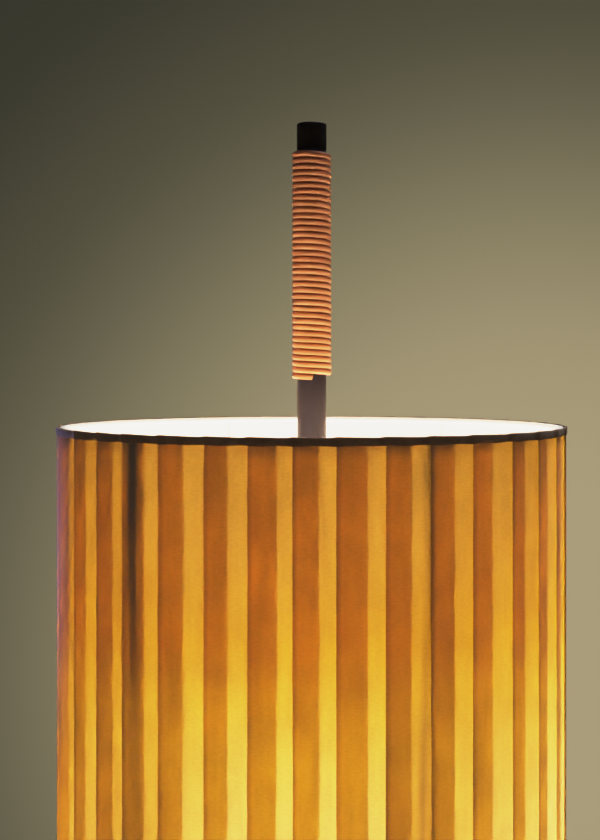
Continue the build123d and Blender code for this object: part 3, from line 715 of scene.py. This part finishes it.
def opal_look():
    """A lit opal bulb, brightest round its middle and dimmer at its neck."""
    look, tree, out = blank("bulb_opal")
    where = place(tree)
    height = add(tree, "SeparateXYZ", {"Vector": where}).outputs["Z"]
    lit = remap(tree, height, neck_light, 1.0, bulb_cap_top, bulb_cap_top + bulb_radius)
    cloudy = remap(tree, noise(tree, where, scale=45.0, detail=3.0), 0.92, 1.0)
    power = times(tree, times(tree, lit, cloudy), bulb_light)
    glass = add(tree, "BsdfPrincipled", {"Base Color": (*bulb_white, 1.0), "Roughness": 0.25})
    glow = add(tree, "Emission", {"Color": (*bulb_colour, 1.0), "Strength": power})
    both = add(tree, "AddShader", {0: glass.outputs[0], 1: glow.outputs[0]})
    tree.links.new(both.outputs[0], out.inputs[0])
    return look


looks = {"ribbon": ribbon_look(), "lining": lining_look(), "binding_tape": tape_look(),
         "cane": cane_look(), "bulb_opal": opal_look()}
looks.update({name: surface(name, **values) for name, values in plain_looks.items()})


# Shade

def fold_bearings():
    """All the folds' bearings, in order round the stem."""
    first, last = front_folds[0], front_folds[-1]
    missing = pleat_count - len(front_folds)
    gap = (360 - (last - first)) / (missing + 1)
    rest = [last + gap * (n + 1) + chance.uniform(-fold_play, fold_play) for n in range(missing)]
    return list(front_folds) + rest


def wander(size, waves=2, fastest=1.3):
    """A gentle drift along a length, as a function of the way along it from 0 to 1.

    It sums some waves, each quicker and much smaller than the one before.
    """
    parts = [(chance.uniform(0.3, 1.0) * size / (n + 1) ** 2, chance.uniform(0, 2 * math.pi),
              fastest * (n + 1) / waves) for n in range(waves)]
    return lambda part: sum(swing * math.sin(2 * math.pi * (pace * part) + start)
                            for swing, start, pace in parts)


folds = fold_bearings()
layer_shares = [*front_shares, *(chance.uniform(*other_shares) for _ in folds[len(front_shares):])]
face_shares = [1.0] * left_pleats + [chance.uniform(*plain_faces) for _ in folds[left_pleats:]]
fold_wanders = [wander(math.degrees(fold_drift / fold_radius)) for _ in folds]
share_wanders = [wander(share_drift) for _ in folds]


def fold_at(pleat, up):
    """The bearing of a pleat's outer fold at a height from 0 to 1."""
    turn, index = divmod(pleat, pleat_count)
    return folds[index] + 360 * turn + fold_wanders[index](up)


def clearness_and_shade_at(pleat, up):
    """The shares of light through a pleat's face and its folded layers, at a height from 0 to 1, with the
    painted shade of the listed pleats.
    """
    plain = (face_shares[pleat], 1.0)
    # Painted shade of the darkened pleats, faded out towards the foot
    rim, half_way = painted_dim_pleats.get(pleat, (plain, plain))
    foot, head, part = (half_way, rim, 2 * up - 1) if up > 0.5 else (plain, half_way, 2 * up)
    return tuple(a + (b - a) * part for a, b in zip(foot, head))


def ribbon_section(up):
    """The ribbon's way round at one height: out over each fold, and back under it.

    Each point is a radius, a bearing and the shares of red, green and blue that get through there.
    """
    points = []
    inner = fold_radius - inner_drop
    for pleat in range(pleat_count):
        fold = fold_at(pleat, up)
        following = fold_at(pleat + 1, up)
        index = (pleat + 1) % pleat_count
        share = layer_shares[index] + share_wanders[index](up)
        tuck = following + share * (fold_at(pleat + 2, up) - following)
        face_share, folded_share = clearness_and_shade_at(pleat, up)
        face = tuple(factor * face_share ** power for factor, power in face_tint)
        # Painted shade along the fold's edge
        edge = tuple(c * fold_shade_share for c in face)
        folded = tuple(c * folded_share for c in folded_tint)
        points += [(fold_radius - crease_depth, fold - crease_back, edge),
                   (fold_radius, fold + crease_ahead, edge)]
        for part in face_parts:
            points.append((fold_radius - crease_step - face_drop * part ** face_bow,
                           fold + (following - fold) * part, face if part > fold_shade_part else edge))
        for part in layer_parts:
            points.append((fold_radius - face_drop - (inner_drop - face_drop) * part,
                           following + (tuck - following) * part, folded))
        points += [(inner, tuck, folded), (inner + tuck_gap / 2, tuck + crease_back, folded),
                   (inner + tuck_gap, tuck, folded)]
        for part in layer_parts:
            points.append((inner + tuck_gap + (inner_drop - middle_drop) * part * middle_reach,
                           tuck + (following - tuck) * part, folded))
    return points


def make_ribbon():
    """The pleated ribbon, one cloth thick, from rim to rim."""
    rows = []
    clearness_and_shade = []
    for row in range(cloth_rows + 1):
        up = row / cloth_rows
        height = ribbon_foot + (ribbon_head - ribbon_foot) * up
        section = ribbon_section(up)
        rows.append([at(radius, bearing, height) for radius, bearing, share in section])
        clearness_and_shade += [part for radius, bearing, share in section for part in share]
    ribbon = skin("pleated_ribbon", rows, sharp=50.0)
    ribbon.data.attributes.new("clear", "FLOAT_VECTOR", "POINT").data.foreach_set("vector", clearness_and_shade)
    dress(ribbon, looks["ribbon"], "shade", "ribbon", "shade_pleats")
    return ribbon


def make_lining():
    """The white lining behind the ribbon, with a hem turned in over each ring."""
    foot = shade_bottom + lining_inset
    head = shade_top - lining_inset
    hem = (ring_inner, (ring_inner + lining_radius) / 2, lining_radius - hem_corner)
    wall = head - foot - 2 * hem_corner
    section = [(radius, foot) for radius in hem]
    section += [(lining_radius, foot + hem_corner + wall * (row / lining_rows))
                for row in range(lining_rows + 1)]
    section += [(radius, head) for radius in reversed(hem)]
    rows = [[at(radius, 360 * c / lining_columns, height) for c in range(lining_columns)]
            for radius, height in section]
    lining = skin("shade_lining", rows)
    dress(lining, looks["lining"], "shade", "ribbon")
    return lining, head - foot + 2 * (lining_radius - ring_inner)


def tape_section(bearing, fall, rim, inward):
    """The tape's closed section at a bearing, where it has fallen by a share of the face's drop."""
    outer = fold_radius + tape_gap + tape_sheet - face_drop * fall
    top = rim + inward * (tape_dip * fall + rim_waver * math.sin(bearing * rim_pace))
    waver = edge_waver * math.sin(bearing * edge_pace + 1.0)
    foot = rim + inward * (tape_height - tape_edge_gap - waver)
    bends = [step * math.pi / 2 / tape_corner_steps for step in range(tape_corner_steps + 1)]
    section = [(tape_land_radius, top)]
    section += [(outer - tape_corner + tape_corner * math.sin(bend),
                 top + inward * (tape_corner - tape_corner * math.cos(bend))) for bend in bends]
    section += [(outer, (top + foot) / 2), (outer, foot - inward * tape_edge_bevel),
                (outer - tape_sheet / 2, foot), (outer - tape_sheet, foot - inward * tape_edge_bevel),
                (outer - tape_sheet, top + inward * tape_corner),
                (outer - tape_corner, top + inward * tape_sheet),
                (tape_land_radius, top + inward * tape_sheet)]
    return [at(radius, bearing, height) for radius, height in section]


def make_tape(name, rim, inward, node):
    """A tape that follows the pleats outside a rim and is turned in over its edge."""
    up = 1.0 if inward < 0 else 0.0
    rows = []
    for pleat in range(pleat_count):
        start = fold_at(pleat, up)
        end = fold_at(pleat + 1, up)
        for part in tape_parts:
            fall = part
            if part > tape_step_start:
                risen = (part - tape_step_start) / (1 - tape_step_start)
                fall = tape_step_start * (1 - risen) ** tape_step_curve
            rows.append(tape_section(start + (end - start) * part, fall, rim, inward))
    tape = skin(name, rows, closed=True, sharp=45.0)
    dress(tape, looks["binding_tape"], "shade", "binding_tape", node)
    return tape


def make_welds():
    """Beads of enamelled weld where the struts meet the rings and the spider arms meet the struts."""
    shape = bmesh.new()
    upper = low("shade_top_ring").z
    lower = high("shade_bottom_ring").z

    def bead(centre, along, outline):
        across = along.orthogonal().normalized()
        other = along.cross(across)
        angles = [2 * math.pi * s / bead_sides for s in range(bead_sides)]
        rings = [[shape.verts.new(centre + along * reach + (strut_wire + swell) * (
            across * math.cos(angle) + other * math.sin(angle))) for angle in angles]
            for reach, swell in outline]
        for a, b in zip(rings, rings[1:]):
            for s in range(bead_sides):
                n = (s + 1) % bead_sides
                shape.faces.new((a[s], a[n], b[n], b[s]))
        shape.faces.new(list(reversed(rings[0])))
        shape.faces.new(rings[-1])

    for number in range(strut_count):
        bearing = first_strut_bearing + 360 * number / strut_count
        bead(at(strut_radius, bearing, upper), Vector((0, 0, 1)), ring_bead)
        bead(at(strut_radius, bearing, lower), Vector((0, 0, -1)), ring_bead)
        if number % 2 == 0:
            bead(at(strut_radius - strut_wire, bearing, spider_height),
                 at(1, bearing, 0).normalized(), arm_bead)
    mesh = bpy.data.meshes.new("frame_welds")
    shape.to_mesh(mesh)
    shape.free()
    dress(link("frame_welds", mesh), looks["frame_white"], "shade", "frame_white")


def make_shade():
    """Ribbon, lining, tapes and welds."""
    ribbon = make_ribbon()
    lining, lining_height = make_lining()
    tape_top = make_tape("rim_tape_top", shade_top, -1, "shade_binding_top")
    tape_bottom = make_tape("rim_tape_bottom", shade_bottom, 1, "shade_binding_bottom")
    make_welds()
    section = [at(radius, bearing, 0) for radius, bearing, share in ribbon_section(0.5)]


# Grip

def squared(value, power):
    """A sine or cosine that swells an oval towards a rectangle."""
    return math.copysign(abs(value) ** power, value)


def make_cane():
    """The oval cane, wound turn against turn, with a slanted cut at each end."""
    start = cane_bottom + cane_half_height
    lean = wander(cane_lean, 3, cane_lean_waves)
    swell = wander(cane_swell, 3, cane_swell_waves)
    out_power, up_power = cane_squareness
    rows = []
    strand = []
    count = round(cane_turns * cane_steps)
    for step in range(count + 1):
        turn = cane_turns * step / count
        ease = min(1.0, turn * cane_ease, (cane_turns - turn) * cane_ease)
        size = 1.0 + swell(turn / cane_turns) * ease
        height = start + cane_pitch * turn + lean(turn / cane_turns) * ease
        row = []
        for side in range(cane_sides):
            angle = 2 * math.pi * side / cane_sides
            out = max(cane_depth * size * squared(math.cos(angle), out_power), -cane_depth)
            up = cane_half_height * squared(math.sin(angle), up_power)
            slant = cane_cut * math.sin(angle) if step in (0, count) else 0.0
            row.append(at(cane_centre + out, cane_end_bearing + slant - 360 * turn, height + up))
            strand += [2 * math.pi * cane_centre * turn, math.cos(angle), math.sin(angle)]
        rows.append(row)
    cane = skin("cane_grip", rows, ends=True, sharp=60.0)
    cane.data.attributes.new("strand", "FLOAT_VECTOR", "POINT").data.foreach_set("vector", strand)
    dress(cane, looks["cane"], "stand", "cane", "cane_winding")


def make_cap():
    """The black plug on top, with eased edges and a plug end inside the tube."""
    plug_radius = stem_radius - plug_inset
    plug_foot = low("end_cap").z
    crown_share, crown_drop = cap_crown
    outline = [(0.0, cap_top), (cap_radius * crown_share, cap_top - crown_drop)]
    outline += rounded(cap_radius - cap_edge, cap_top - cap_edge, cap_edge, 90, 0)
    outline += [(cap_radius, (cap_top + grip_top) / 2)]
    outline += rounded(cap_radius - cap_foot_edge, grip_top + cap_foot_edge, cap_foot_edge, 0, -90, steps=3)
    outline += [(plug_radius, grip_top), (plug_radius, plug_foot + plug_chamfer),
                (plug_radius - plug_chamfer, plug_foot), (0.0, plug_foot)]
    dress(turned("grip_cap", outline, steps=96), looks["cap_black"], "stand", "cap_black", "end_cap")


# Bulbs

def make_globe(number, centre):
    """An opal globe with a neck that ends inside the cap."""
    neck = bulb_cap_radius - neck_inset
    shoulder_r = bulb_radius * math.cos(math.radians(shoulder_angle))
    shoulder_z = bulb_middle - bulb_radius * math.sin(math.radians(shoulder_angle))
    outline = [(0.0, bulb_top)]
    outline += rounded(0.0, bulb_middle, bulb_radius, 90, -shoulder_angle, steps=26)[1:]
    for step in range(1, neck_steps + 1):
        part = step / neck_steps
        pinch = neck_pinch * math.sin(math.pi * part)
        outline.append((shoulder_r + (neck - shoulder_r) * part ** neck_curve - pinch,
                        shoulder_z + (bulb_cap_top + neck_lap - shoulder_z) * part))
    neck_end = bulb_cap_top - neck_end_depth
    outline += [(neck - neck_end_inset, neck_end), (0.0, neck_end)]
    globe = turned(f"bulb_globe_{number}", outline, centre, steps=56)
    dress(globe, looks["bulb_opal"], f"bulb_{number}", "bulb_opal", f"bulb_glass_{number}")


def make_thread(number, centre):
    """A bulb's cap: its insulating cone, its rolled thread and its lip."""
    rows = [ring(centre, radius, height, thread_sides) for radius, height in cone]
    for step in range(thread_steps + 1):
        height = thread_foot + (bulb_cap_top - thread_foot) * step / thread_steps
        fade = min(1.0, (height - thread_foot) / thread_fade,
                   (bulb_cap_top - thread_head_gap - height) / thread_fade)
        row = []
        for side in range(thread_sides):
            turn = side / thread_sides
            wave = 0.5 + 0.5 * math.cos(2 * math.pi * ((height - thread_foot) / thread_pitch - turn))
            radius = thread_root + thread_depth * wave * max(fade, 0.0)
            angle = 2 * math.pi * turn
            row.append(Vector((centre[0] + radius * math.cos(angle),
                               centre[1] + radius * math.sin(angle), height)))
        rows.append(row)
    rows.append(ring(centre, lip_radius, bulb_cap_top, thread_sides))
    cap = skin(f"bulb_thread_{number}", rows, sharp=50.0)
    dress(cap, looks["bulb_cap_metal"], f"bulb_{number}", "bulb_cap_metal", f"bulb_cap_{number}")


def make_bulb(number):
    """One bulb, on the axis of its CAD cap."""
    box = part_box(f"bulb_cap_{number}")
    centre = ((box[0].x + box[1].x) / 2, (box[0].y + box[1].y) / 2)
    make_globe(number, centre)
    make_thread(number, centre)


# The CAD nodes that keep their shape

def dress_frame():
    """A procedural material on every CAD node, by its slot in the record."""
    slots = {part["node"]: part["material_slot"] for part in frame["record"]["subparts"]}
    for name, node in nodes.items():
        look = looks[slots[name]]
        if not node.material_slots:
            node.data.materials.append(look)
        for slot in node.material_slots:
            slot.material = look


# Studio

def make_camera():
    """The photograph's view: level, a little above the rim, close to the shade."""
    camera = bpy.data.cameras.new("camera")
    camera.lens = camera_lens
    camera.shift_x, camera.shift_y = camera_shift
    holder = bpy.data.objects.new("camera", camera)
    holder.location = (0.0, -camera_distance, camera_height)
    holder.rotation_euler = (math.radians(90), 0.0, 0.0)
    bpy.context.scene.collection.objects.link(holder)
    bpy.context.scene.camera = holder


def make_floor():
    """A plain pale floor that melts into the backdrop's tone further out."""
    outline = [(floor_radius * n / floor_rings, 0.0) for n in range(floor_rings + 1)]
    floor = turned("studio_floor", outline, steps=64)
    look, tree, out = blank("studio_floor")
    where = place(tree)
    reach = add(tree, "VectorMath", {0: where}, operation="LENGTH").outputs["Value"]
    fade = remap(tree, reach, 0.0, 1.0, floor_melt, floor_radius)
    base = ramp(tree, noise(tree, where, scale=6.0), *floor_tones)
    pale = add(tree, "BsdfPrincipled", {"Base Color": base, "Roughness": 0.7})
    see_through = add(tree, "BsdfTransparent")
    both = add(tree, "MixShader", {0: fade, 1: pale.outputs[0], 2: see_through.outputs[0]})
    tree.links.new(both.outputs[0], out.inputs[0])
    floor.data.materials.append(look)


def add_light(name, kind, place_at, target, power, colour, **settings):
    """A light that faces a point."""
    light = bpy.data.lights.new(name, kind)
    light.energy = power
    light.color = colour
    for key, value in settings.items():
        setattr(light, key, value)
    holder = bpy.data.objects.new(name, light)
    holder.location = place_at
    holder.rotation_euler = (Vector(target) - Vector(place_at)).to_track_quat("-Z", "Y").to_euler()
    bpy.context.scene.collection.objects.link(holder)


def make_light():
    """A dim warm-grey room, a soft light above and a narrow cool one from behind on the left."""
    world = bpy.data.worlds.new("room")
    world.use_nodes = True
    tree = world.node_tree
    way = add(tree, "TexCoord").outputs["Generated"]
    near = add(tree, "VectorMath", {0: way, 1: backdrop_way}, operation="DOT_PRODUCT").outputs["Value"]
    tone = ramp(tree, remap(tree, near, 0.0, 1.0, -1.0, 1.0), *backdrop)
    tone.node.color_ramp.interpolation = "B_SPLINE"
    tree.links.new(tone, tree.nodes["Background"].inputs["Color"])
    bpy.context.scene.world = world
    add_light("overhead", "AREA", place_at=(0.6, 0.9, 3.8), target=(0.0, 0.0, 0.0), power=70.0,
              colour=(1.0, 0.98, 0.95), size=1.8)
    add_light("cool_side", "SPOT", place_at=(-1.7, 2.4, 0.9), target=(-0.2, 0.0, 1.30), power=170.0,
              colour=(0.46, 0.44, 1.0), spot_size=math.radians(8.0), spot_blend=0.6,
              shadow_soft_size=0.1)


def set_render():
    """Enough bounces for light to pass the layers of cloth, and a plain view of the result."""
    scene = bpy.context.scene
    view = scene.view_settings
    view.view_transform = "Standard"
    view.use_curve_mapping = True
    curves = view.curve_mapping
    curves.extend = "HORIZONTAL"
    curves.white_level = (film_reach, film_reach, film_reach)
    combined = curves.curves[3]
    combined.points[0].location = (0.0, 0.0)
    combined.points[1].location = (1.0, film_shoulder[-1][1])
    for bright, shown in film_shoulder[:-1]:
        combined.points.new(bright / film_reach, shown)
    curves.update()
    scene.cycles.max_bounces = 16
    scene.cycles.diffuse_bounces = 12
    scene.cycles.sample_clamp_indirect = 20.0
    scene.cycles.use_denoising = True


make_camera()
dress_frame()
make_shade()
make_cane()
make_cap()
for bulb in (1, 2, 3):
    make_bulb(bulb)
make_floor()
make_light()
set_render()
